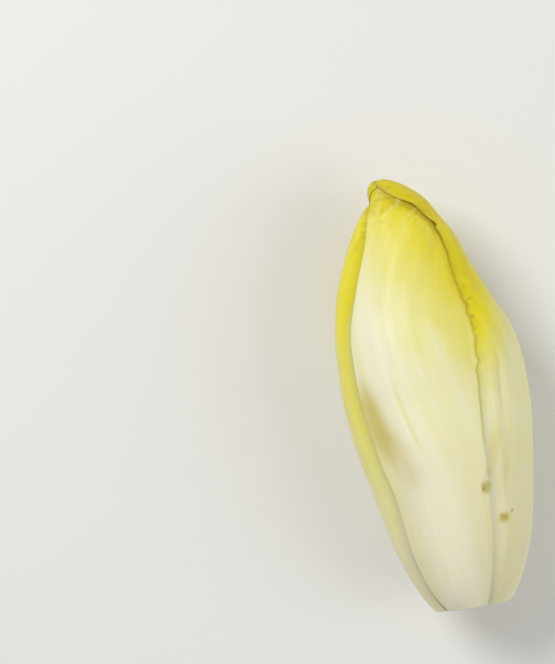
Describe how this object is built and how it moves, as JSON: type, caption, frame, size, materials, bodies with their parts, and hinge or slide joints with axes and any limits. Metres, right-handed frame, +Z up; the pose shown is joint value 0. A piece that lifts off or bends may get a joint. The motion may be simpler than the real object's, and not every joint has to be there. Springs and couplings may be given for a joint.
{
  "type": "belgian endive",
  "caption": "Head of belgian endive lying on its side, a tight bud of pale leaves with yellow margins and tip, wrapped round a short cut core.",
  "frame": {"origin": "on the surface that the head lies on, under the middle of its box", "axes": "+Z up; +Y along the head, from the cut base to the tip; +X to the right, seen from above with the tip away"},
  "size_m": [0.0676, 0.1582, 0.0585],
  "materials": {
    "outer_leaf": "satin, cream with yellow margins",
    "inner_leaf": "satin, pale yellow",
    "core": "matt, moist cut face"
  },
  "bodies": {
    "root": {"core": "core", "leaf_01_left": "outer_leaf", "leaf_02_right": "outer_leaf", "leaf_03_front": "outer_leaf", "leaf_04": "inner_leaf", "leaf_05": "inner_leaf", "leaf_06": "inner_leaf", "leaf_07": "inner_leaf", "leaf_08": "inner_leaf", "leaf_09": "inner_leaf", "leaf_10": "inner_leaf", "leaf_11": "inner_leaf", "leaf_12": "inner_leaf", "heart": "inner_leaf"}
  },
  "joints": []
}
